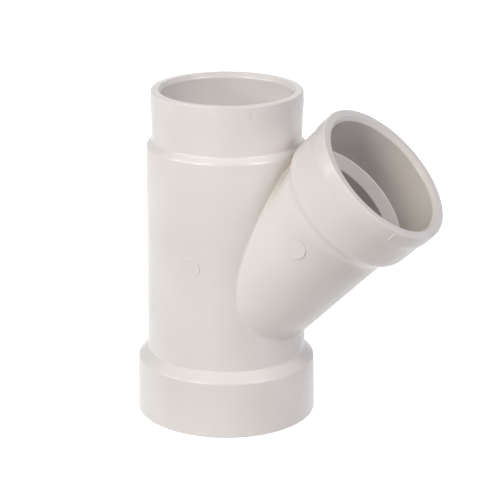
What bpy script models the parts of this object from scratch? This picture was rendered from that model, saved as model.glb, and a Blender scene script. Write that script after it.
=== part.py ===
"""Reducing wye: a drainage fitting moulded in one piece of rigid white PVC.

A 2 in outlet hub stands on the floor, a 1 1/2 in inlet hub is at the top of the
straight run, and a 1 1/2 in branch leaves the run at 45 degrees. All three ends are
sockets for solvent-welded pipe. Each end is drawn as a turned outline, outside and
inside; the two outsides are united with the fillet that rolls round their junction,
and the two waterways are then cut out of them.

The run's axis is vertical and the branch leans towards +X. The origin is on the
floor, under the middle of the fitting's own box.
"""
import math

import bmesh
import bpy
from mathutils import Matrix, Vector

# Pipe that the fitting takes, in metres: 2 in on the run, 1 1/2 in on the inlet and the branch
RUN_PIPE_RADIUS = 0.03015
BRANCH_PIPE_SHARE = 0.8

# Room that each socket leaves round its pipe, and its depth
OUTLET_SOCKET_ROOM = 0.00009
OUTLET_SOCKET_DEPTH = 0.0196
SMALL_SOCKET_ROOM = 0.00018
SMALL_SOCKET_DEPTH = 0.01855

# Walls of the hubs and the barrels, and how far each barrel stands off its pipe's size
OUTLET_HUB_WALL = 0.00362
INLET_HUB_WALL = 0.00365
BRANCH_HUB_WALL = 0.0037
RUN_BARREL_OFFSET = -0.0003
RUN_WALL = 0.00375
BRANCH_BARREL_OFFSET = 0.00018
BRANCH_WALL = 0.0033

# How far each hub runs on behind the bottom of its socket
OUTLET_HUB_BACK = 0.0016
INLET_HUB_BACK = 0.00015
BRANCH_HUB_BACK = 0.0006

# Where the branch leaves the run: its heel stands clear of the outlet hub, its crotch of the
# step below the inlet hub, and the branch hub of the crotch
BRANCH_ANGLE = math.radians(45.0)
HEEL_CLEARANCE = 0.0082
CROTCH_CLEARANCE = 0.00216
BRANCH_HUB_CLEARANCE = 0.00017

# Edges and steps of the hubs
OUTLET_SHOULDER_ROUND = 0.0022
INLET_EDGE_ROUND = 0.0009
INLET_BAND_LENGTH = 0.0044
INLET_BAND_STEP = 0.0003
BRANCH_SHOULDER_ROUND = 0.0080
BRANCH_ROOT_ROUND = 0.0080
BRANCH_BAND_LENGTH = 0.0050
BRANCH_BAND_STEP = 0.0006
HUB_DRAFT = math.radians(1.2)
SOCKET_TAPER = math.radians(0.4)
SHOULDER_SLOPE = math.radians(45.0)
BRANCH_SHOULDER_SLOPE = math.radians(54.0)
LEAD_IN_WIDTH = 0.0006
LEAD_IN_DEPTH = 0.0020
BAND_RAMP = 0.0026
BAND_DRAFT = math.radians(2.5)
RIM_ROUND = 0.0006
STEP_ROUND = 0.0004

# Pipe stops at the bottom of the sockets, and the run's reducer behind the inlet's stop
STOP_LEDGE = 0.0004
STOP_LAND = 0.0008
STOP_SLOPE = math.radians(37.0)
REDUCER_SLOPE = math.radians(50.0)

# Fillet round the junction: small in the acute crotch, larger under the branch
CROTCH_FILLET = 0.0007
HEEL_FILLET = 0.0030
FILLET_ROOT = 0.0004
FILLET_EMBED = 0.00002

# Flat round mould pads on both sides, and short ticks that mark the hubs' eighths. A pad's height
# is that of its face over the barrel's crest; beside the crest the pad's edge stands prouder.
PAD_RADIUS = 0.00385
PAD_HEIGHT = 0.00014
PAD_EDGE = 0.00010
PAD_ROOT = 0.0008
RUN_PAD_RISE = 0.0267
RUN_PAD_TURN = math.radians(2.0)
BRANCH_PAD_SETBACK = 0.01018
BRANCH_PAD_TURN = math.radians(4.0)
TICK_WIDTH = 0.0007
TICK_HEIGHT = 0.00025
TICK_MARGIN = 0.0010
TICK_LENGTH = 0.0036
INLET_TICK_ANGLES = (-45.0, 0.0, 45.0)
BRANCH_TICK_ANGLES = (-45.0, 45.0)

# How finely round forms are divided
RUN_SEGMENTS = 72
BRANCH_SEGMENTS = 64
FILLET_STATIONS = 60
FILLET_ARC_STEPS = 4
CORNER_STEPS = 2
PAD_SEGMENTS = 28
CUTTER_OVERRUN = 0.003

PVC_COLOUR = (0.72, 0.69, 0.655, 1.0)
PVC_ROUGHNESS = 0.32

# Sizes that follow from the ones above
BRANCH_PIPE_RADIUS = BRANCH_PIPE_SHARE * RUN_PIPE_RADIUS
OUTLET_SOCKET_RADIUS = RUN_PIPE_RADIUS + OUTLET_SOCKET_ROOM
SMALL_SOCKET_RADIUS = BRANCH_PIPE_RADIUS + SMALL_SOCKET_ROOM
RUN_BARREL_RADIUS = RUN_PIPE_RADIUS + RUN_BARREL_OFFSET
RUN_BORE_RADIUS = RUN_BARREL_RADIUS - RUN_WALL
BRANCH_BARREL_RADIUS = BRANCH_PIPE_RADIUS + BRANCH_BARREL_OFFSET
BRANCH_BORE_RADIUS = BRANCH_BARREL_RADIUS - BRANCH_WALL
OUTLET_HUB_RADIUS = OUTLET_SOCKET_RADIUS + OUTLET_HUB_WALL
OUTLET_HUB_LENGTH = OUTLET_SOCKET_DEPTH + OUTLET_HUB_BACK
INLET_HUB_RADIUS = SMALL_SOCKET_RADIUS + INLET_HUB_WALL
INLET_HUB_LENGTH = SMALL_SOCKET_DEPTH + INLET_HUB_BACK
BRANCH_HUB_RADIUS = SMALL_SOCKET_RADIUS + BRANCH_HUB_WALL
BRANCH_HUB_LENGTH = SMALL_SOCKET_DEPTH + BRANCH_HUB_BACK


def clear_scene():
    for leftover in list(bpy.data.objects):
        bpy.data.objects.remove(leftover, do_unlink=True)


def white_pvc():
    material = bpy.data.materials.new("white_pvc")
    material.use_nodes = True
    shader = material.node_tree.nodes["Principled BSDF"]
    shader.inputs["Base Color"].default_value = PVC_COLOUR
    shader.inputs["Roughness"].default_value = PVC_ROUGHNESS
    shader.inputs["Metallic"].default_value = 0.0
    material.diffuse_color = PVC_COLOUR
    return material


def rounded_outline(corners):
    """Turn (radius, height, rounding) corners into points, with an arc at each rounding."""
    points = []
    for index, (radius, height, rounding) in enumerate(corners):
        here = Vector((radius, height))
        inner = 0 < index < len(corners) - 1
        if not rounding or not inner:
            points.append(here)
            continue
        back = Vector(corners[index - 1][:2]) - here
        ahead = Vector(corners[index + 1][:2]) - here
        half_angle = back.angle(ahead) / 2
        reach = min(rounding / math.tan(half_angle), 0.45 * back.length, 0.45 * ahead.length)
        arc_radius = reach * math.tan(half_angle)
        bisector = (back.normalized() + ahead.normalized()).normalized()
        centre = here + bisector * (arc_radius / math.sin(half_angle))
        start = here + back.normalized() * reach - centre
        sweep = start.angle_signed(here + ahead.normalized() * reach - centre)
        for step in range(CORNER_STEPS + 1):
            turn = Matrix.Rotation(-sweep * step / CORNER_STEPS, 2)
            points.append(centre + turn @ start)
    return points


def add_object(name, bm, placement):
    bmesh.ops.recalc_face_normals(bm, faces=bm.faces)
    mesh = bpy.data.meshes.new(name)
    bm.to_mesh(mesh)
    bm.free()
    made = bpy.data.objects.new(name, mesh)
    made.matrix_world = placement
    bpy.context.scene.collection.objects.link(made)
    return made


def turned_solid(name, outline, segments, placement):
    """Spin an outline round the local Z axis, closed by flat ends on the axis."""
    bm = bmesh.new()
    on_axis = [(0.0, outline[0][1])] + [tuple(point) for point in outline] + [(0.0, outline[-1][1])]
    verts = [bm.verts.new((radius, 0.0, height)) for radius, height in on_axis]
    edges = [bm.edges.new(pair) for pair in zip(verts, verts[1:])]
    bmesh.ops.spin(
        bm, geom=verts + edges, cent=(0, 0, 0), axis=(0, 0, 1),
        angle=math.tau, steps=segments, use_merge=True,
    )
    bmesh.ops.remove_doubles(bm, verts=bm.verts, dist=1e-6)
    return add_object(name, bm, placement)


def hub_back(hub_radius, hub_length, barrel_radius, plain_start, slope=SHOULDER_SLOPE):
    """A hub's radius at its back edge, and how far from its rim its shoulder meets the barrel."""
    back_radius = hub_radius - (hub_length - plain_start) * math.tan(HUB_DRAFT)
    return back_radius, hub_length + abs(back_radius - barrel_radius) * math.tan(slope)


def hub_outline(
    hub_radius, hub_length, barrel_radius, edge_round, root_round, band_length=0.0, band_step=0.0,
    slope=SHOULDER_SLOPE,
):
    """Corners of a hub's outside, from its rim at height 0 back to the barrel behind it.

    A band of slightly larger radius may run round the rim. It narrows a little towards the
    rim, and ramps down to the hub behind it.
    """
    rim_radius = hub_radius + band_step - band_length * math.tan(BAND_DRAFT)
    corners = [(rim_radius, 0.0, RIM_ROUND)]
    plain_start = 0.0
    if band_step:
        plain_start = band_length + BAND_RAMP
        corners.append((hub_radius + band_step, band_length, BAND_RAMP))
        corners.append((hub_radius, plain_start, BAND_RAMP))
    back_radius, shoulder_end = hub_back(hub_radius, hub_length, barrel_radius, plain_start, slope)
    corners.append((back_radius, hub_length, edge_round))
    corners.append((barrel_radius, shoulder_end, root_round))
    return corners


def socket_outline(socket_radius, socket_depth, bore_radius):
    """Corners of a socket's inside: lead-in, tapered wall, ledge and the cone that stops the pipe."""
    bottom_radius = socket_radius - (socket_depth - LEAD_IN_DEPTH) * math.tan(SOCKET_TAPER)
    ledge_radius = bottom_radius - STOP_LEDGE
    cone_length = (ledge_radius - bore_radius) / math.tan(STOP_SLOPE)
    return [
        (socket_radius + LEAD_IN_WIDTH, -CUTTER_OVERRUN, 0),
        (socket_radius + LEAD_IN_WIDTH, 0.0, 0),
        (socket_radius, LEAD_IN_DEPTH, 0),
        (bottom_radius, socket_depth, 0),
        (ledge_radius, socket_depth, 0),
        (bore_radius, socket_depth + cone_length, 0),
    ]


def facing_up(corners, top):
    """Turn an end's corners over, so that its rim is at the given height and faces up."""
    return [(radius, top - height, rounding) for radius, height, rounding in reversed(corners)]


def layout():
    """Crossing height of the two axes, the run's length and the branch's length along its axis.

    The heel and the crotch are the lowest and highest points where the branch's barrel meets
    the run's. Each hub keeps its named clearance from them.
    """
    sine, cosine = math.sin(BRANCH_ANGLE), math.cos(BRANCH_ANGLE)
    heel_reach = (RUN_BARREL_RADIUS - BRANCH_BARREL_RADIUS * cosine) / sine
    crotch_reach = (RUN_BARREL_RADIUS + BRANCH_BARREL_RADIUS * cosine) / sine
    heel_rise = heel_reach * cosine - BRANCH_BARREL_RADIUS * sine
    crotch_rise = crotch_reach * cosine + BRANCH_BARREL_RADIUS * sine

    outlet_end = hub_back(OUTLET_HUB_RADIUS, OUTLET_HUB_LENGTH, RUN_BARREL_RADIUS, 0.0)[1]
    inlet_end = hub_back(
        INLET_HUB_RADIUS, INLET_HUB_LENGTH, RUN_BARREL_RADIUS, INLET_BAND_LENGTH + BAND_RAMP,
    )[1]
    branch_end = hub_back(
        BRANCH_HUB_RADIUS, BRANCH_HUB_LENGTH, BRANCH_BARREL_RADIUS, BRANCH_BAND_LENGTH + BAND_RAMP,
        BRANCH_SHOULDER_SLOPE,
    )[1]
    crossing_height = outlet_end + HEEL_CLEARANCE - heel_rise
    run_length = crossing_height + crotch_rise + CROTCH_CLEARANCE + inlet_end
    branch_length = crotch_reach + BRANCH_HUB_CLEARANCE + branch_end
    return crossing_height, run_length, branch_length


def run_outside(run_length):
    outlet = hub_outline(
        OUTLET_HUB_RADIUS, OUTLET_HUB_LENGTH, RUN_BARREL_RADIUS, OUTLET_SHOULDER_ROUND, STEP_ROUND,
    )
    inlet = hub_outline(
        INLET_HUB_RADIUS, INLET_HUB_LENGTH, RUN_BARREL_RADIUS, STEP_ROUND, INLET_EDGE_ROUND,
        INLET_BAND_LENGTH, INLET_BAND_STEP,
    )
    corners = [(0.0, 0.0, 0)] + outlet + facing_up(inlet, run_length) + [(0.0, run_length, 0)]
    return rounded_outline(corners)[1:-1]


def run_waterway(run_length):
    outlet = socket_outline(OUTLET_SOCKET_RADIUS, OUTLET_SOCKET_DEPTH, RUN_BORE_RADIUS)
    inlet = socket_outline(SMALL_SOCKET_RADIUS, SMALL_SOCKET_DEPTH, BRANCH_BORE_RADIUS)
    land_end = inlet[-1][1] + STOP_LAND
    reducer_length = (RUN_BORE_RADIUS - BRANCH_BORE_RADIUS) / math.tan(REDUCER_SLOPE)
    inlet.append((BRANCH_BORE_RADIUS, land_end, 0))
    inlet.append((RUN_BORE_RADIUS, land_end + reducer_length, 0))
    return rounded_outline(outlet + facing_up(inlet, run_length))


def branch_outside(branch_length):
    hub = hub_outline(
        BRANCH_HUB_RADIUS, BRANCH_HUB_LENGTH, BRANCH_BARREL_RADIUS, BRANCH_SHOULDER_ROUND, BRANCH_ROOT_ROUND,
        BRANCH_BAND_LENGTH, BRANCH_BAND_STEP, BRANCH_SHOULDER_SLOPE,
    )
    corners = [(BRANCH_BARREL_RADIUS, 0.0, 0)] + facing_up(hub, branch_length) + [(0.0, branch_length, 0)]
    return rounded_outline(corners)[:-1]


def branch_waterway(branch_length):
    socket = socket_outline(SMALL_SOCKET_RADIUS, SMALL_SOCKET_DEPTH, BRANCH_BORE_RADIUS)
    return rounded_outline([(BRANCH_BORE_RADIUS, 0.0, 0)] + facing_up(socket, branch_length))


def fillet_section(azimuth, crossing_height):
    """One section of the junction fillet, where a ball rests on both barrels.

    azimuth goes round the branch from its upper side. The ball's centre is at its radius
    outside both barrels; the arc between its two contacts is the fillet's skin.
    """
    blend = (1 + math.cos(azimuth)) / 2
    ball = HEEL_FILLET + (CROTCH_FILLET - HEEL_FILLET) * blend
    along = Vector((math.sin(BRANCH_ANGLE), 0.0, math.cos(BRANCH_ANGLE)))
    upper = Vector((-math.cos(BRANCH_ANGLE), 0.0, math.sin(BRANCH_ANGLE)))
    spoke = upper * math.cos(azimuth) + Vector((0.0, -1.0, 0.0)) * math.sin(azimuth)
    from_axis = spoke * (BRANCH_BARREL_RADIUS - FILLET_EMBED + ball)
    run_reach = RUN_BARREL_RADIUS - FILLET_EMBED + ball
    distance = (math.sqrt(max(run_reach ** 2 - from_axis.y ** 2, 0.0)) - from_axis.x) / along.x
    centre = Vector((0.0, 0.0, crossing_height)) + from_axis + along * distance
    run_normal = Vector((centre.x, centre.y, 0.0)).normalized()
    turn = spoke.rotation_difference(run_normal)
    axis, sweep = turn.to_axis_angle()
    points = []
    for step in range(FILLET_ARC_STEPS + 1):
        towards = Matrix.Rotation(sweep * step / FILLET_ARC_STEPS, 3, axis) @ spoke
        points.append(centre - towards * ball)
    root_direction = (spoke + run_normal).normalized()
    points.append(points[-1] - run_normal * FILLET_ROOT / 2)
    points.append(centre - root_direction * (ball / math.cos(sweep / 2) + FILLET_ROOT))
    points.append(points[0] - spoke * FILLET_ROOT / 2)
    return points


def junction_fillet(crossing_height, placement):
    """The ring of fillet round the junction, closed on itself, its root inside both barrels."""
    bm = bmesh.new()
    rings = []
    for station in range(FILLET_STATIONS):
        azimuth = math.tau * (station + 0.5) / FILLET_STATIONS
        rings.append([bm.verts.new(point) for point in fillet_section(azimuth, crossing_height)])
    for ring, following in zip(rings, rings[1:] + rings[:1]):
        count = len(ring)
        for index in range(count):
            after = (index + 1) % count
            bm.faces.new((ring[index], ring[after], following[after], following[index]))
    return add_object("junction_fillet", bm, placement)


def mould_pad(name, barrel_radius, placement):
    """A flat round pad across the barrel's crest, centred on the local +X side."""
    bm = bmesh.new()
    face = barrel_radius + PAD_HEIGHT
    levels = (
        (barrel_radius - PAD_ROOT, PAD_RADIUS), (face - PAD_EDGE, PAD_RADIUS), (face, PAD_RADIUS - PAD_EDGE),
    )
    rings = []
    for out, pad_radius in levels:
        ring = []
        for index in range(PAD_SEGMENTS):
            around = math.tau * (index + 0.5) / PAD_SEGMENTS
            ring.append(bm.verts.new((out, pad_radius * math.cos(around), pad_radius * math.sin(around))))
        rings.append(ring)
    for ring, following in zip(rings, rings[1:]):
        for index in range(PAD_SEGMENTS):
            after = (index + 1) % PAD_SEGMENTS
            bm.faces.new((ring[index], ring[after], following[after], following[index]))
    for ring, out in ((rings[0], levels[0][0]), (rings[-1], face)):
        centre = bm.verts.new((out, 0.0, 0.0))
        for index in range(PAD_SEGMENTS):
            bm.faces.new((ring[index], ring[(index + 1) % PAD_SEGMENTS], centre))
    return add_object(name, bm, placement)


def hub_tick(name, radius, rim_height, placement):
    """A short ridge just below the rim on the local +X side, with sloping flanks."""
    bm = bmesh.new()
    top = rim_height - TICK_MARGIN
    bottom = top - TICK_LENGTH
    half_base = TICK_WIDTH / 2
    half_crest = TICK_WIDTH / 4
    section = (
        (radius - TICK_HEIGHT, -half_base), (radius + TICK_HEIGHT, -half_crest),
        (radius + TICK_HEIGHT, half_crest), (radius - TICK_HEIGHT, half_base),
    )
    lower = [bm.verts.new((out, side, bottom)) for out, side in section]
    upper = [bm.verts.new((out, side, top)) for out, side in section]
    bm.faces.new(lower)
    bm.faces.new(upper)
    for index in range(4):
        after = (index + 1) % 4
        bm.faces.new((lower[index], lower[after], upper[after], upper[index]))
    return add_object(name, bm, placement)


def combine(body, tool, operation):
    """Unite a shape with the body, or cut it out, and keep the shape as a hidden guide."""
    step = body.modifiers.new(tool.name, "BOOLEAN")
    step.operation = operation
    step.solver = "EXACT"
    step.object = tool
    tool.hide_render = True
    tool.display_type = "WIRE"


def build_wye():
    crossing_height, run_length, branch_length = layout()
    branch_points = branch_outside(branch_length)
    reach = max(
        height * math.sin(BRANCH_ANGLE) + radius * math.cos(BRANCH_ANGLE) for radius, height in branch_points
    )
    box_middle = (reach - OUTLET_HUB_RADIUS) / 2
    run_place = Matrix.Translation((-box_middle, 0.0, 0.0))
    lean = Matrix.Rotation(BRANCH_ANGLE, 4, "Y")
    branch_place = run_place @ Matrix.Translation((0.0, 0.0, crossing_height)) @ lean

    wye = turned_solid("wye_fitting", run_outside(run_length), RUN_SEGMENTS, run_place)
    wye.data.materials.append(white_pvc())
    combine(wye, turned_solid("branch_outside", branch_points, BRANCH_SEGMENTS, branch_place), "UNION")
    combine(wye, junction_fillet(crossing_height, run_place), "UNION")

    run_pad_place = run_place @ Matrix.Translation((0.0, 0.0, crossing_height + RUN_PAD_RISE))
    shoulder_foot = hub_back(
        BRANCH_HUB_RADIUS, BRANCH_HUB_LENGTH, BRANCH_BARREL_RADIUS, BRANCH_BAND_LENGTH + BAND_RAMP,
        BRANCH_SHOULDER_SLOPE,
    )[1]
    branch_pad_distance = branch_length - shoulder_foot - BRANCH_PAD_SETBACK
    branch_pad_place = branch_place @ Matrix.Translation((0.0, 0.0, branch_pad_distance))
    for side, facing in (("front", -1), ("rear", 1)):
        for name, radius, place, lean_in in (
            ("run_pad_", RUN_BARREL_RADIUS, run_pad_place, RUN_PAD_TURN),
            ("branch_pad_", BRANCH_BARREL_RADIUS, branch_pad_place, BRANCH_PAD_TURN),
        ):
            turn = Matrix.Rotation(facing * (math.pi / 2 - lean_in), 4, "Z")
            combine(wye, mould_pad(name + side, radius, place @ turn), "UNION")

    for number, angle in enumerate(INLET_TICK_ANGLES):
        turn = run_place @ Matrix.Rotation(math.radians(angle), 4, "Z")
        tick = hub_tick(f"inlet_tick_{number}", INLET_HUB_RADIUS + INLET_BAND_STEP, run_length, turn)
        combine(wye, tick, "UNION")
    for number, angle in enumerate(BRANCH_TICK_ANGLES):
        turn = branch_place @ Matrix.Rotation(math.radians(angle), 4, "Z")
        tick = hub_tick(f"branch_tick_{number}", BRANCH_HUB_RADIUS + BRANCH_BAND_STEP, branch_length, turn)
        combine(wye, tick, "UNION")

    combine(wye, turned_solid("run_waterway", run_waterway(run_length), RUN_SEGMENTS, run_place), "DIFFERENCE")
    inside = turned_solid("branch_waterway", branch_waterway(branch_length), BRANCH_SEGMENTS, branch_place)
    combine(wye, inside, "DIFFERENCE")
    return wye


clear_scene()
build_wye()
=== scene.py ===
import math

import bmesh
import bpy
import numpy as np
from mathutils import Matrix, Vector
from mathutils.kdtree import KDTree


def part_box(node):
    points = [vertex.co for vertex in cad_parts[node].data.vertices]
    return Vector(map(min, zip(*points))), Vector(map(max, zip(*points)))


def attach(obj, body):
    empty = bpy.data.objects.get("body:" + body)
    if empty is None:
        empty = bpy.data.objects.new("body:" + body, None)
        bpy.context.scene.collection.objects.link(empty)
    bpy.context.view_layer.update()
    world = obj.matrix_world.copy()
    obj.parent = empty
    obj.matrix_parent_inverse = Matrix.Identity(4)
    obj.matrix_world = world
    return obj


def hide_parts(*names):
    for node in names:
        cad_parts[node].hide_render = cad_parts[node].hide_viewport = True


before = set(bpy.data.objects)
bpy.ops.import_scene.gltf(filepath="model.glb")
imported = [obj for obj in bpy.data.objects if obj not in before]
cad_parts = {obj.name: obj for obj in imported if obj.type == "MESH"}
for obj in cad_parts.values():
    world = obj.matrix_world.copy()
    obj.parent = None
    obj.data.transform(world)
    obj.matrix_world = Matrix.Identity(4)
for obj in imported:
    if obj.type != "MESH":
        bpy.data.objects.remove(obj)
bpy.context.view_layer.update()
print("wye: frame loaded")

mm = 0.001

# The moulded body, in millimetres and degrees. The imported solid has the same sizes, but for a few
# edges, lead-ins and the inlet's band, which are tuned to the photo here.
wyeFitting = {
    "runHeight": 124.70,
    "crossingHeight": 37.48,    # where the two axes meet
    "branchAngle": 45.0,
    "branchLength": 90.60,
    "runBarrel": 29.85,         # barrels, bores, hubs and sockets are radii
    "runBore": 26.10,
    "branchBarrel": 24.30,
    "branchBore": 21.00,
    "outletHub": 33.86,
    "outletHubLength": 21.2,
    "outletShoulderRound": 1.3,
    "outletSocket": 30.24,
    "outletSocketDepth": 19.6,
    "inletHub": 27.95,
    "inletHubLength": 18.7,
    "inletEdgeRound": 1.8,
    "inletRootRound": 1.1,
    "inletBand": 4.4,
    "inletBandStep": 0.3,
    "inletBandRamp": 6.0,
    "branchHub": 28.00,
    "branchHubLength": 19.15,
    "branchShoulderSlope": 54.0,
    "branchShoulderRound": 8.0,
    "branchRootRound": 8.0,
    "branchBand": 5.0,
    "branchBandStep": 0.6,
    "branchBandRamp": 2.6,
    "bandDraft": 2.5,
    "bandSoftness": 4,          # a band's bends are rounded by this many times its ramp
    "smallSocket": 24.30,
    "smallSocketDepth": 18.55,
    "hubDraft": 1.2,
    "shoulderSlope": 45.0,
    "socketTaper": 0.4,
    "leadInWidth": 0.95,
    "leadInDepth": 1.5,
    "leadInRound": 1.5,
    "mouthRound": 0.3,          # the soft inner edge of each rim
    "mouthSlant": 0.1,          # the share of that round that lies outside the rim's plane
    "rimRound": 0.6,
    "stepRound": 0.4,
    "stopLedge": 0.4,
    "stopLand": 0.8,
    "stopSlope": 37.0,
    "stopRound": 0.3,
    "reducerSlope": 50.0,
    "crotchFillet": 0.7,
    "heelFillet": 3.0,
}

# How finely the body is drawn, and what its shapes need so that they cut and join cleanly
drawing = {
    "cornerSteps": 6,
    "mostOfStretch": 0.45,      # the largest share of a straight stretch that a rounding takes
    "runSides": 192,
    "branchSides": 176,
    "filletStations": 240,
    "filletSteps": 8,
    "ballPlaces": 4000,         # places of the fillet's ball that the true normals are read from
    "filletSunk": 0.01,         # millimetres, here and below: the fillet's edges lie in the barrels
    "filletRoot": 0.2,          # and its back lies deeper, so that the union has no gap
    "filletCore": 0.4,
    "waterOverrun": 3.0,        # how far a socket's cut starts outside its rim
    "boreStretch": 4.0,         # the first stretch of plain bore behind a socket
    "cornerJoin": 0.001,        # corners nearer than this, left by the cuts, become one
}

# What the mould leaves on the body, in millimetres and degrees
mouldMarks = {
    "padRadius": 3.85,
    "padHeight": 0.20,
    "padEdge": 0.20,
    "padRoot": 0.8,
    "padMiddle": 0.5,           # the share of the radius inside which the face is a plain fan
    "padEdgeSteps": 4,
    "padSides": 96,
    "runPadHeight": 64.18,
    "runPadTurn": 2.0,
    "branchPadDistance": 56.5,
    "branchPadTurn": 4.0,
    "tickWidth": 0.7,
    "tickHeight": 0.25,
    "tickMargin": 1.0,
    "tickLength": 3.6,
    "inletTicks": (-45.0, 0.0, 45.0),
    "branchTicks": (-45.0, 45.0),
}

# The run's axis stands this far, in metres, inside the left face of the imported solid's box
axisInset = 0.033847
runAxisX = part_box("wye_fitting")[0].x + axisInset
runPlace = Matrix.Translation((runAxisX, 0.0, 0.0))
crossing = Vector((runAxisX, 0.0, wyeFitting["crossingHeight"] * mm))
branchLean = math.radians(wyeFitting["branchAngle"])
branchPlace = Matrix.Translation(crossing) @ Matrix.Rotation(branchLean, 4, "Y")


def tangent(degrees):
    return math.tan(math.radians(degrees))


# A station of an outline is its point (radius, height) and the normals out of the shape just before
# and after it. Corners are (radius, height, rounding), walked with the shape on the left hand.
def roundedStations(corners):
    steps = drawing["cornerSteps"]
    most = drawing["mostOfStretch"]
    flats = []
    for here, ahead in zip(corners, corners[1:]):
        along = Vector((ahead[0] - here[0], ahead[1] - here[1])).normalized()
        flats.append(Vector((along.y, -along.x)))
    stations = []
    for index, (radius, height, rounding) in enumerate(corners):
        here = Vector((radius, height))
        before = flats[max(index - 1, 0)]
        after = flats[min(index, len(flats) - 1)]
        if rounding <= 0 or index in (0, len(corners) - 1):
            stations.append((here, before, after))
            continue
        back = Vector(corners[index - 1][:2]) - here
        ahead = Vector(corners[index + 1][:2]) - here
        halfAngle = back.angle(ahead) / 2
        reach = min(rounding / math.tan(halfAngle), most * back.length, most * ahead.length)
        arc = reach * math.tan(halfAngle)
        middle = (back.normalized() + ahead.normalized()).normalized()
        centre = here + middle * (arc / math.sin(halfAngle))
        start = here + back.normalized() * reach - centre
        sweep = start.angle_signed(here + ahead.normalized() * reach - centre)
        facing = 1.0 if start.dot(before) > 0 else -1.0
        for step in range(steps + 1):
            spoke = Matrix.Rotation(-sweep * step / steps, 2) @ start
            normal = spoke.normalized() * facing
            stations.append((centre + spoke, normal, normal))
    return stations


def meshObject(name, points, faces):
    mesh = bpy.data.meshes.new(name)
    mesh.from_pydata([tuple(point) for point in points], [], faces)
    mesh.update()
    made = bpy.data.objects.new(name, mesh)
    bpy.context.scene.collection.objects.link(made)
    return made


# A closed shape whose volume comes out negative has its faces turned over
def faceOutwards(made):
    mesh = made.data
    mesh.calc_loop_triangles()
    volume = 0.0
    for triangle in mesh.loop_triangles:
        a, b, c = (mesh.vertices[index].co for index in triangle.vertices)
        volume += a.dot(b.cross(c))
    if volume < 0:
        mesh.flip_normals()


# Each shape that goes into the body keeps its number on its faces, so that the finished mesh
# still knows which true surface every face came from.
shapes = []


def numberedShape(made, **facts):
    number = made.data.attributes.new("shape", "INT", "FACE")
    number.data.foreach_set("value", [len(shapes)] * len(made.data.polygons))
    shapes.append(facts)
    return made


# An outline turned round the local Z axis. The air side is 1 for a shape that stands in air, and
# -1 for a cut, whose inside becomes air.
def turnedShape(name, stations, sides, place, airSide):
    turns = np.arange(sides) * math.tau / sides
    ring = np.stack([np.cos(turns), np.sin(turns)], axis=1)
    points = [(0.0, 0.0, stations[0][0].y)]
    for point, before, after in stations:
        points.extend((point.x * x, point.x * y, point.y) for x, y in ring)
    points.append((0.0, 0.0, stations[-1][0].y))
    last = len(points) - 1
    faces = []
    for side in range(sides):
        ahead = (side + 1) % sides
        faces.append((0, 1 + ahead, 1 + side))
        for level in range(len(stations) - 1):
            low = 1 + level * sides
            high = low + sides
            faces.append((low + side, low + ahead, high + ahead, high + side))
        top = 1 + (len(stations) - 1) * sides
        faces.append((top + side, top + ahead, last))
    placed = [place @ (Vector(point) * mm) for point in points]
    made = meshObject(name, placed, faces)
    return numberedShape(made, kind="turned", stations=stations, place=place, airSide=airSide)


# A hub from its rim to the barrel behind it, with a raised band at the rim where it has one
def hubCorners(hub, length, barrel, slope, edgeRound, rootRound, band=0.0, bandStep=0.0, bandRamp=0.0):
    fit = wyeFitting
    corners = [(hub + bandStep - band * tangent(fit["bandDraft"]), 0.0, fit["rimRound"])]
    plainStart = 0.0
    if bandStep:
        plainStart = band + bandRamp
        bandRound = fit["bandSoftness"] * bandRamp
        corners.append((hub + bandStep, band, bandRound))
        corners.append((hub, plainStart, bandRound))
    back = hub - (length - plainStart) * tangent(fit["hubDraft"])
    corners.append((back, length, edgeRound))
    corners.append((barrel, length + abs(back - barrel) * tangent(slope), rootRound))
    return corners


# The inside of a socket, from outside its rim inwards, with what lies deeper given as (radius,
# distance past the pipe stop's cone). Its first arc softens the rim's inner edge, and crosses the
# rim's plane at a slant, so that the cut there is clean.
def socketStations(socket, depth, bore, deeper=()):
    fit = wyeFitting
    steps = drawing["cornerSteps"]
    soft = fit["mouthRound"]
    mouth = socket + fit["leadInWidth"]
    bottom = socket - (depth - fit["leadInDepth"]) * tangent(fit["socketTaper"])
    ledge = bottom - fit["stopLedge"]
    coneEnd = depth + (ledge - bore) / tangent(fit["stopSlope"])
    outside = -fit["mouthSlant"] * soft
    corners = [
        (mouth + soft, -drawing["waterOverrun"], 0),
        (mouth + soft, outside, 0),
    ]
    for step in range(1, steps + 1):
        swing = math.radians(90.0 * step / steps)
        inwards = mouth + soft * (1 - math.sin(swing))
        corners.append((inwards, outside + soft * (1 - math.cos(swing)), 0))
    corners.extend([
        (socket, fit["leadInDepth"], fit["leadInRound"]),
        (bottom, depth, fit["stopRound"] / 2),
        (ledge, depth, fit["stopRound"]),
        (bore, coneEnd, fit["stopRound"]),
    ])
    corners.extend((radius, coneEnd + further, fit["stopRound"]) for radius, further in deeper)
    corners.append((corners[-1][0], corners[-1][1] + drawing["boreStretch"], 0))
    stations = roundedStations(corners)
    # the mouth's arc is drawn in short flats and shaded as the round that they stand for
    for index in range(2, 1 + steps):
        point = stations[index][0]
        spoke = (point - Vector((mouth + soft, outside + soft))).normalized()
        stations[index] = (point, -spoke, -spoke)
    return stations


def upsideDown(stations, top):
    turned = []
    for point, before, after in reversed(stations):
        flipped = Vector((point.x, top - point.y))
        turned.append((flipped, Vector((after.x, -after.y)), Vector((before.x, -before.y))))
    return turned


def cornersUpsideDown(corners, top):
    return [(radius, top - height, rounding) for radius, height, rounding in reversed(corners)]


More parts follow.
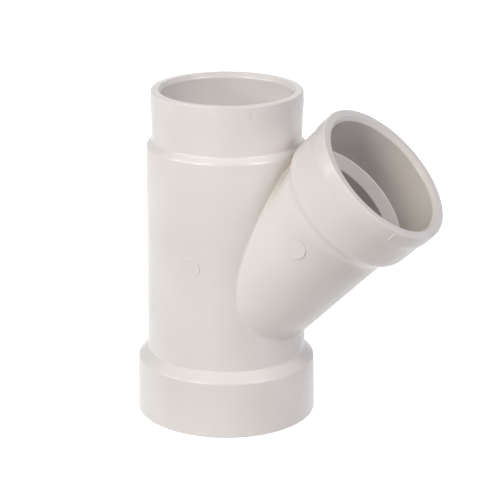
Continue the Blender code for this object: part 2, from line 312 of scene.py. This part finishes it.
def runOutside():
    fit = wyeFitting
    outlet = hubCorners(
        fit["outletHub"], fit["outletHubLength"], fit["runBarrel"], fit["shoulderSlope"],
        fit["outletShoulderRound"], fit["stepRound"],
    )
    inlet = hubCorners(
        fit["inletHub"], fit["inletHubLength"], fit["runBarrel"], fit["shoulderSlope"],
        fit["inletRootRound"], fit["inletEdgeRound"],
        fit["inletBand"], fit["inletBandStep"], fit["inletBandRamp"],
    )
    inlet = cornersUpsideDown(inlet, fit["runHeight"])
    corners = [(0.0, 0.0, 0)] + outlet + inlet + [(0.0, fit["runHeight"], 0)]
    return roundedStations(corners)[1:-1]


def branchOutside():
    fit = wyeFitting
    hub = hubCorners(
        fit["branchHub"], fit["branchHubLength"], fit["branchBarrel"], fit["branchShoulderSlope"],
        fit["branchShoulderRound"], fit["branchRootRound"],
        fit["branchBand"], fit["branchBandStep"], fit["branchBandRamp"],
    )
    hub = cornersUpsideDown(hub, fit["branchLength"])
    corners = [(fit["branchBarrel"], 0.0, 0)] + hub + [(0.0, fit["branchLength"], 0)]
    return roundedStations(corners)[:-1]


# The run's bore narrows to the branch's bore in a cone behind the inlet's pipe stop
def runWaterway():
    fit = wyeFitting
    outlet = socketStations(fit["outletSocket"], fit["outletSocketDepth"], fit["runBore"])
    reducer = (fit["runBore"] - fit["branchBore"]) / tangent(fit["reducerSlope"])
    deeper = ((fit["branchBore"], fit["stopLand"]), (fit["runBore"], fit["stopLand"] + reducer))
    inlet = socketStations(fit["smallSocket"], fit["smallSocketDepth"], fit["branchBore"], deeper)
    return outlet + upsideDown(inlet, fit["runHeight"])


def branchWaterway():
    fit = wyeFitting
    socket = socketStations(fit["smallSocket"], fit["smallSocketDepth"], fit["branchBore"])
    plain = Vector((1.0, 0.0))
    start = (Vector((fit["branchBore"], 0.0)), plain, plain)
    return [start] + upsideDown(socket, fit["branchLength"])


# The junction's fillet is where a ball rolls round, resting on both barrels. Its radius grows
# from the crotch to the heel.
def filletBall(azimuth):
    fit = wyeFitting
    sunk = drawing["filletSunk"]
    blend = (1 + math.cos(azimuth)) / 2
    ball = fit["heelFillet"] + (fit["crotchFillet"] - fit["heelFillet"]) * blend
    along = Vector((math.sin(branchLean), 0.0, math.cos(branchLean)))
    upper = Vector((-math.cos(branchLean), 0.0, math.sin(branchLean)))
    spoke = upper * math.cos(azimuth) + Vector((0.0, -1.0, 0.0)) * math.sin(azimuth)
    fromAxis = spoke * (fit["branchBarrel"] - sunk + ball)
    runReach = fit["runBarrel"] - sunk + ball
    distance = (math.sqrt(runReach ** 2 - fromAxis.y ** 2) - fromAxis.x) / along.x
    centre = Vector((0.0, 0.0, fit["crossingHeight"])) + fromAxis + along * distance
    return centre, ball, spoke


def filletShape():
    stations = drawing["filletStations"]
    steps = drawing["filletSteps"]
    root = drawing["filletRoot"]
    points = []
    for station in range(stations):
        centre, ball, spoke = filletBall(math.tau * (station + 0.5) / stations)
        runNormal = Vector((centre.x, centre.y, 0.0)).normalized()
        axis, sweep = spoke.rotation_difference(runNormal).to_axis_angle()
        arc = []
        for step in range(steps + 1):
            towards = Matrix.Rotation(sweep * step / steps, 3, axis) @ spoke
            arc.append(centre - towards * ball)
        coreWay = (spoke + runNormal).normalized()
        core = centre - coreWay * (ball / math.cos(sweep / 2) + drawing["filletCore"])
        points.extend(arc)
        points.extend([arc[-1] - runNormal * root, core, arc[0] - spoke * root])
    ringSize = len(points) // stations
    faces = []
    for station in range(stations):
        here = station * ringSize
        beyond = ((station + 1) % stations) * ringSize
        for index in range(ringSize):
            after = (index + 1) % ringSize
            faces.append((here + index, here + after, beyond + after, beyond + index))
    placed = [runPlace @ (point * mm) for point in points]
    made = meshObject("junctionFillet", placed, faces)
    faceOutwards(made)
    places = drawing["ballPlaces"]
    balls = KDTree(places)
    for index in range(places):
        centre = filletBall(math.tau * index / places)[0]
        balls.insert(runPlace @ (centre * mm), index)
    balls.balance()
    return numberedShape(made, kind="fillet", balls=balls)


# A flat round pad across the barrel's crest, centred on the local +X side. Beside the crest its
# edge stands prouder, because the barrel falls away under it.
def padShape(name, barrel, place):
    marks = mouldMarks
    face = barrel + marks["padHeight"]
    edge = marks["padEdge"]
    padRadius = marks["padRadius"]
    steps = marks["padEdgeSteps"]
    levels = [(barrel - marks["padRoot"], padRadius)]
    for step in range(steps + 1):
        swing = math.radians(90.0 * step / steps)
        out = face - edge * (1 - math.sin(swing))
        levels.append((out, padRadius - edge * (1 - math.cos(swing))))
    levels.append((face, padRadius * marks["padMiddle"]))
    sides = marks["padSides"]
    points = []
    for out, radius in levels:
        for side in range(sides):
            around = math.tau * (side + 0.5) / sides
            points.append((out, radius * math.cos(around), radius * math.sin(around)))
    under = len(points)
    points.append((levels[0][0], 0.0, 0.0))
    points.append((face, 0.0, 0.0))
    faces = []
    for side in range(sides):
        ahead = (side + 1) % sides
        for level in range(len(levels) - 1):
            low = level * sides
            high = low + sides
            faces.append((low + side, low + ahead, high + ahead, high + side))
        top = (len(levels) - 1) * sides
        faces.append((top + side, top + ahead, under + 1))
        faces.append((ahead, side, under))
    made = meshObject(name, [place @ (Vector(point) * mm) for point in points], faces)
    faceOutwards(made)
    return numberedShape(made, kind="pad", place=place, face=face, edge=edge, radius=padRadius)


# A short ridge just below a rim on the local +X side. Its flanks slope, so that its crest is half
# as wide as its base.
def tickShape(name, radius, rimHeight, place):
    marks = mouldMarks
    top = rimHeight - marks["tickMargin"]
    bottom = top - marks["tickLength"]
    base = marks["tickWidth"] / 2
    crest = base / 2
    inner = radius - marks["tickHeight"]
    outer = radius + marks["tickHeight"]
    section = ((inner, -base), (outer, -crest), (outer, crest), (inner, base))
    corners = len(section)
    points = [(out, side, level) for level in (bottom, top) for out, side in section]
    faces = [(3, 2, 1, 0), (4, 5, 6, 7)]
    for index in range(corners):
        after = (index + 1) % corners
        faces.append((index, after, after + corners, index + corners))
    made = meshObject(name, [place @ (Vector(point) * mm) for point in points], faces)
    faceOutwards(made)
    return numberedShape(made, kind="plain")


def combine(body, tool, operation):
    step = body.modifiers.new(tool.name, "BOOLEAN")
    step.operation = operation
    step.solver = "EXACT"
    step.object = tool
    return tool


def joinCloseCorners(mesh):
    joined = bmesh.new()
    joined.from_mesh(mesh)
    bmesh.ops.remove_doubles(joined, verts=joined.verts, dist=drawing["cornerJoin"] * mm)
    joined.to_mesh(mesh)
    joined.free()


def buildBody():
    fit = wyeFitting
    marks = mouldMarks
    runSides = drawing["runSides"]
    branchSides = drawing["branchSides"]
    body = turnedShape("wyeBody", runOutside(), runSides, runPlace, 1.0)
    faceOutwards(body)
    branch = turnedShape("branchOutside", branchOutside(), branchSides, branchPlace, 1.0)
    tools = [combine(body, branch, "UNION"), combine(body, filletShape(), "UNION")]
    print("wye: barrels, hubs and fillet drawn")

    padRows = (
        ("runPad", fit["runBarrel"], runPlace, marks["runPadHeight"], marks["runPadTurn"]),
        ("branchPad", fit["branchBarrel"], branchPlace, marks["branchPadDistance"], marks["branchPadTurn"]),
    )
    for side, facing in (("Front", -1), ("Rear", 1)):
        for name, barrel, place, distance, turn in padRows:
            spot = place @ Matrix.Translation((0.0, 0.0, distance * mm))
            spot = spot @ Matrix.Rotation(facing * math.radians(90.0 - turn), 4, "Z")
            tools.append(combine(body, padShape(name + side, barrel, spot), "UNION"))

    inletBandRadius = fit["inletHub"] + fit["inletBandStep"]
    branchBandRadius = fit["branchHub"] + fit["branchBandStep"]
    tickRows = (
        ("inletTick", marks["inletTicks"], inletBandRadius, fit["runHeight"], runPlace),
        ("branchTick", marks["branchTicks"], branchBandRadius, fit["branchLength"], branchPlace),
    )
    for name, angles, radius, rimHeight, place in tickRows:
        for number, angle in enumerate(angles):
            turn = place @ Matrix.Rotation(math.radians(angle), 4, "Z")
            tick = tickShape(f"{name}{number}", radius, rimHeight, turn)
            tools.append(combine(body, tick, "UNION"))
    print("wye: pads and ticks drawn")

    for name, stations, sides, place in (
        ("runWaterway", runWaterway(), runSides, runPlace),
        ("branchWaterway", branchWaterway(), branchSides, branchPlace),
    ):
        water = turnedShape(name, stations, sides, place, -1.0)
        faceOutwards(water)
        tools.append(combine(body, water, "DIFFERENCE"))

    graph = bpy.context.evaluated_depsgraph_get()
    finished = bpy.data.meshes.new_from_object(body.evaluated_get(graph))
    joinCloseCorners(finished)
    body.modifiers.clear()
    drawn = body.data
    body.data = finished
    bpy.data.meshes.remove(drawn)
    for tool in tools:
        mesh = tool.data
        bpy.data.objects.remove(tool)
        bpy.data.meshes.remove(mesh)
    finished.name = "wyeBody"
    print("wye: body joined and its waterways cut,", len(finished.polygons), "faces")
    return body


# Every corner of the finished mesh gets the normal of the true surface it lies on, so that the
# cut edges stay crisp and the round forms shade without a facet.
shading = {
    "filletAgrees": 0.5,        # the least cosine between a face's own normal and its true one
    "turnedAgrees": 0.6,
    "padEdgeReach": 1.05,       # how far in from a pad's wall, in edge widths, its edge is curved
    "facesAtOnce": 4000,
    "leastLength": 1e-9,        # keeps a division by a length of nothing from failing
    "leastSquare": 1e-18,
}


def readNumbers(items, name, kind=np.float64, width=1):
    numbers = np.zeros(len(items) * width, dtype=kind)
    items.foreach_get(name, numbers)
    return numbers


# On the fillet the normal points at the nearest place of the ball's centre
def filletNormals(balls, points, faceNormals):
    normals = faceNormals.copy()
    for index, point in enumerate(points):
        centre = balls.find(Vector(point))[0]
        towards = (centre - Vector(point)).normalized()
        if towards.dot(Vector(faceNormals[index])) > shading["filletAgrees"]:
            normals[index] = towards
    return normals


# A pad's wall is straight, its edge a quarter of a circle and its face flat
def padNormals(facts, local):
    edge = facts["edge"]
    across = np.hypot(local[:, 1], local[:, 2])
    spokes = local[:, 1:] / np.maximum(across, shading["leastLength"])[:, None]
    lift = np.clip((local[:, 0] / mm - facts["face"]) / edge + 1.0, 0.0, 1.0)
    lift[across / mm < facts["radius"] - edge * shading["padEdgeReach"]] = 1.0
    side = np.sqrt(1.0 - lift * lift)
    return np.concatenate([lift[:, None], spokes * side[:, None]], axis=1)


# On a turned shape each face finds its stretch of the outline, and the normals at that stretch's
# two ends are blended.
def turnedNormals(facts, local, faceOfPoint):
    leastLength = shading["leastLength"]
    outline = np.array([tuple(point) for point, before, after in facts["stations"]]) * mm
    starts = np.array([tuple(after) for point, before, after in facts["stations"]])[:-1]
    ends = np.array([tuple(before) for point, before, after in facts["stations"]])[1:]
    radius = np.hypot(local[:, 0], local[:, 1])
    outwards = local[:, :2] / np.maximum(radius, leastLength)[:, None]
    flat = np.stack([radius, local[:, 2]], axis=1)
    faces, faceIndex, counts = np.unique(faceOfPoint, return_inverse=True, return_counts=True)
    middle = np.zeros((len(faces), 2))
    np.add.at(middle, faceIndex, flat)
    middle /= counts[:, None]
    low = outline[:-1]
    way = outline[1:] - low
    squares = np.maximum(np.sum(way * way, axis=1), shading["leastSquare"])
    nearest = np.zeros(len(faces), dtype=np.int64)
    atOnce = shading["facesAtOnce"]
    for first in range(0, len(faces), atOnce):
        part = middle[first:first + atOnce, None, :]
        share = np.clip(np.einsum("fsk,sk->fs", part - low, way) / squares, 0.0, 1.0)
        gap = part - (low + share[..., None] * way)
        nearest[first:first + atOnce] = np.argmin(np.sum(gap * gap, axis=2), axis=1)
    stretch = nearest[faceIndex]
    share = np.sum((flat - low[stretch]) * way[stretch], axis=1) / squares[stretch]
    share = np.clip(share, 0.0, 1.0)[:, None]
    blended = starts[stretch] * (1 - share) + ends[stretch] * share
    blended /= np.maximum(np.linalg.norm(blended, axis=1), leastLength)[:, None]
    whole = np.concatenate([outwards * blended[:, :1], blended[:, 1:]], axis=1)
    return whole * facts["airSide"]


def trueNormals(mesh):
    vertexOfLoop = readNumbers(mesh.loops, "vertex_index", np.int32)
    points = readNumbers(mesh.vertices, "co", width=3).reshape(-1, 3)[vertexOfLoop]
    faceSize = readNumbers(mesh.polygons, "loop_total", np.int32)
    faceOfLoop = np.repeat(np.arange(len(mesh.polygons)), faceSize)
    shapeOfFace = readNumbers(mesh.attributes["shape"].data, "value", np.int32)
    shapeOfLoop = shapeOfFace[faceOfLoop]
    normals = readNumbers(mesh.polygons, "normal", width=3).reshape(-1, 3)[faceOfLoop]

    for number, facts in enumerate(shapes):
        chosen = np.flatnonzero(shapeOfLoop == number)
        if not len(chosen) or facts["kind"] == "plain":
            continue
        if facts["kind"] == "fillet":
            normals[chosen] = filletNormals(facts["balls"], points[chosen], normals[chosen])
            continue
        back = np.array(facts["place"].inverted())
        turn = np.array(facts["place"])[:3, :3]
        local = points[chosen] @ back[:3, :3].T + back[:3, 3]
        if facts["kind"] == "pad":
            normals[chosen] = padNormals(facts, local) @ turn.T
            continue
        whole = turnedNormals(facts, local, faceOfLoop[chosen]) @ turn.T
        # the flat caps at the shapes' ends keep their own face's normal
        agrees = np.sum(whole * normals[chosen], axis=1) > shading["turnedAgrees"]
        normals[chosen[agrees]] = whole[agrees]
    return normals


body = buildBody()
body.data.polygons.foreach_set("use_smooth", [True] * len(body.data.polygons))
cornerNormals = trueNormals(body.data)
body.data.normals_split_custom_set([tuple(normal) for normal in cornerNormals])
body.data.attributes.remove(body.data.attributes["shape"])
body.data.update()
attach(body, "root")
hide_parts("wye_fitting")
body.data.calc_loop_triangles()
print("wye: body has", len(body.data.loop_triangles), "triangles")

# Rigid white PVC, injection moulded and lightly polished by the mould: a warm, faintly grey white
# with a satin skin, soft broad highlights and small sharp ones on tight edges. Sizes and depths
# are in millimetres.
pvcSkin = {
    "white": "#E9E4E1",
    "shade": "#E3DDD9",         # slow flow clouds in the resin
    "cloudSize": 38.0,
    "cloudDetail": 2.0,
    "cloudStart": 0.35,         # the stretch of the clouds' noise that goes from white to shade
    "cloudEnd": 0.65,
    "roughness": 0.26,
    "roughnessSwing": 0.03,
    "glossSize": 14.0,
    "glossDetail": 3.0,
    "metallic": 0.0,
    "ior": 1.53,                # rigid PVC
    "waveSize": 9.0,            # slow sink and flow waves
    "waveDetail": 1.0,
    "waveDepth": 0.015,
    "grainSize": 0.9,           # the skin's faint orange peel, drawn as coarse as the render can show
    "grainDetail": 2.0,
    "grainDepth": 0.004,
}


# An sRGB hex colour through the sRGB curve to linear
def linearColour(hexColour):
    parts = [int(hexColour[start:start + 2], 16) / 255 for start in (1, 3, 5)]
    linear = [part / 12.92 if part <= 0.04045 else ((part + 0.055) / 1.055) ** 2.4 for part in parts]
    return (*linear, 1.0)


# A pattern's scale is how many times its size, in millimetres, goes into a metre
def patternScale(size):
    return 1000 / size


def addNode(tree, kind, settings=None, links=None):
    node = tree.nodes.new(kind)
    for name, value in (settings or {}).items():
        if name in node.inputs and not hasattr(node, name):
            node.inputs[name].default_value = value
        else:
            setattr(node, name, value)
    for name, source in (links or {}).items():
        tree.links.new(source, node.inputs[name])
    return node


def rigidPvc():
    skin = pvcSkin
    material = bpy.data.materials.new("mouldedRigidPvc")
    material.use_nodes = True
    tree = material.node_tree
    shader = tree.nodes["Principled BSDF"]
    shader.inputs["Metallic"].default_value = skin["metallic"]
    shader.inputs["IOR"].default_value = skin["ior"]
    place = addNode(tree, "ShaderNodeTexCoord").outputs["Object"]

    cloud = addNode(
        tree, "ShaderNodeTexNoise",
        {"Scale": patternScale(skin["cloudSize"]), "Detail": skin["cloudDetail"]}, {"Vector": place},
    )
    cloudRange = addNode(
        tree, "ShaderNodeMapRange",
        {"From Min": skin["cloudStart"], "From Max": skin["cloudEnd"]}, {"Value": cloud.outputs["Fac"]},
    )
    colour = addNode(tree, "ShaderNodeMix", {"data_type": "RGBA"})
    tree.links.new(cloudRange.outputs["Result"], colour.inputs[0])
    colour.inputs[6].default_value = linearColour(skin["white"])       # colour A
    colour.inputs[7].default_value = linearColour(skin["shade"])       # colour B
    tree.links.new(colour.outputs[2], shader.inputs["Base Color"])

    gloss = addNode(
        tree, "ShaderNodeTexNoise",
        {"Scale": patternScale(skin["glossSize"]), "Detail": skin["glossDetail"]}, {"Vector": place},
    )
    smoothest = skin["roughness"] - skin["roughnessSwing"]
    roughest = skin["roughness"] + skin["roughnessSwing"]
    glossRange = addNode(
        tree, "ShaderNodeMapRange",
        {"To Min": smoothest, "To Max": roughest}, {"Value": gloss.outputs["Fac"]},
    )
    tree.links.new(glossRange.outputs["Result"], shader.inputs["Roughness"])

    wave = addNode(
        tree, "ShaderNodeTexNoise",
        {"Scale": patternScale(skin["waveSize"]), "Detail": skin["waveDetail"]}, {"Vector": place},
    )
    waveBump = addNode(
        tree, "ShaderNodeBump",
        {"Distance": skin["waveDepth"] * mm}, {"Height": wave.outputs["Fac"]},
    )
    grain = addNode(
        tree, "ShaderNodeTexNoise",
        {"Scale": patternScale(skin["grainSize"]), "Detail": skin["grainDetail"]}, {"Vector": place},
    )
    grainBump = addNode(
        tree, "ShaderNodeBump", {"Distance": skin["grainDepth"] * mm},
        {"Height": grain.outputs["Fac"], "Normal": waveBump.outputs["Normal"]},
    )
    tree.links.new(grainBump.outputs["Normal"], shader.inputs["Normal"])
    return material


body.data.materials.clear()
body.data.materials.append(rigidPvc())
print("wye: PVC skin made")

# The camera, fitted to the edges in the photo. Its place is in metres from the foot of the run's
# axis, its turns are in degrees, and its lens and sensor in millimetres.
photoCamera = {
    "place": (0.344328, -0.630573, 0.301013),
    "turns": (71.62369, -0.3678, 28.05952),
    "lens": 144.698,
    "sensorWidth": 36.0,
    "clipEnd": 20.0,            # metres
}

# The studio: a pale floor, a cool softbox at the left, a warm one beside the camera, a fill that
# looks down the branch from the right, and a weak light behind. Each softbox has its turn from the
# camera's side to the right and its height, in degrees, then its width in metres, power and tint.
studio = {
    "white": "#FFFFFF",
    "floorColour": "#E5E4E3",
    "floorGlow": 0.90,          # what the floor's seen white has on top of the light it scatters
    "floorReach": 4.0,          # metres, here and below
    "floorGap": 0.0002,         # the floor lies this much under the foot
    "airStrength": 0.02,        # what the air lights the object with
    "seenStrength": 1.0,        # how white the air is where it is seen
    "aimHeight": 0.062,
    "distance": 1.2,
    "softboxes": {
        "sideSoftbox": (-75.0, 24.0, 0.40, 4.7, "#ECF1FF"),
        "frontSoftbox": (-39.0, 36.0, 0.40, 6.2, "#FFFCEE"),
        "fillSoftbox": (52.5, 41.0, 0.45, 6.9, "#F8F6FF"),
        "backSoftbox": (178.0, 20.0, 0.80, 0.7, "#FFFFFF"),
    },
}

aim = Vector((0.0, 0.0, studio["aimHeight"]))
cameraSide = Vector((photoCamera["place"][0], photoCamera["place"][1], 0.0)).normalized()
cameraRight = Vector((-cameraSide.y, cameraSide.x, 0.0))


def softbox(name, turn, height, size, power, tint):
    light = bpy.data.lights.new(name, "AREA")
    light.shape = "SQUARE"
    light.size = size
    light.energy = power
    light.color = linearColour(tint)[:3]
    lamp = bpy.data.objects.new(name, light)
    level = cameraSide * math.cos(math.radians(turn)) + cameraRight * math.sin(math.radians(turn))
    way = level * math.cos(math.radians(height)) + Vector((0.0, 0.0, math.sin(math.radians(height))))
    lamp.location = aim + way * studio["distance"]
    lamp.rotation_euler = (aim - lamp.location).to_track_quat("-Z", "Y").to_euler()
    bpy.context.scene.collection.objects.link(lamp)


for name, facts in studio["softboxes"].items():
    softbox(name, *facts)


# The camera sees the studio's white and the skin mirrors it, but that white lights nothing
def seesBackdrop(tree):
    ray = addNode(tree, "ShaderNodeLightPath")
    bounced = addNode(tree, "ShaderNodeMath", {"operation": "MAXIMUM"})
    tree.links.new(ray.outputs["Is Glossy Ray"], bounced.inputs[0])
    tree.links.new(ray.outputs["Is Transmission Ray"], bounced.inputs[1])
    seen = addNode(tree, "ShaderNodeMath", {"operation": "MAXIMUM"})
    tree.links.new(ray.outputs["Is Camera Ray"], seen.inputs[0])
    tree.links.new(bounced.outputs[0], seen.inputs[1])
    return seen.outputs[0]


# One shader lights the object and another is seen, and the kind of ray chooses between them
def splitByRay(tree, lighting, seen, output):
    choice = addNode(tree, "ShaderNodeMixShader")
    tree.links.new(seesBackdrop(tree), choice.inputs[0])
    tree.links.new(lighting.outputs[0], choice.inputs[1])
    tree.links.new(seen.outputs[0], choice.inputs[2])
    tree.links.new(choice.outputs[0], addNode(tree, output).inputs["Surface"])


def floorMaterial():
    material = bpy.data.materials.new("paleStudioFloor")
    material.use_nodes = True
    tree = material.node_tree
    tree.nodes.clear()
    white = linearColour(studio["white"])
    matt = addNode(tree, "ShaderNodeBsdfDiffuse", {"Color": linearColour(studio["floorColour"])})
    glow = addNode(tree, "ShaderNodeEmission", {"Color": white, "Strength": studio["floorGlow"]})
    both = addNode(tree, "ShaderNodeAddShader")
    tree.links.new(matt.outputs[0], both.inputs[0])
    tree.links.new(glow.outputs[0], both.inputs[1])
    splitByRay(tree, matt, both, "ShaderNodeOutputMaterial")
    return material


reach = studio["floorReach"]
floorCorners = [(-reach, -reach, 0), (reach, -reach, 0), (reach, reach, 0), (-reach, reach, 0)]
floor = meshObject("studioFloor", floorCorners, [(0, 1, 2, 3)])
floor.location.z = -studio["floorGap"]
floor.data.materials.append(floorMaterial())

world = bpy.data.worlds.new("studioAir")
bpy.context.scene.world = world
world.use_nodes = True
airTree = world.node_tree
airTree.nodes.clear()
airWhite = linearColour(studio["white"])
plainAir = addNode(airTree, "ShaderNodeBackground", {"Color": airWhite, "Strength": studio["airStrength"]})
seenAir = addNode(airTree, "ShaderNodeBackground", {"Color": airWhite, "Strength": studio["seenStrength"]})
splitByRay(airTree, plainAir, seenAir, "ShaderNodeOutputWorld")
print("wye: studio lit")

cameraData = bpy.data.cameras.new("photoCamera")
cameraData.sensor_width = photoCamera["sensorWidth"]
cameraData.lens = photoCamera["lens"]
cameraData.clip_end = photoCamera["clipEnd"]
camera = bpy.data.objects.new("photoCamera", cameraData)
across, away, up = photoCamera["place"]
camera.location = (runAxisX + across, away, up)
camera.rotation_euler = [math.radians(angle) for angle in photoCamera["turns"]]
bpy.context.scene.collection.objects.link(camera)
bpy.context.scene.camera = camera
bpy.context.scene.view_settings.view_transform = "Standard"
print("wye: camera placed")
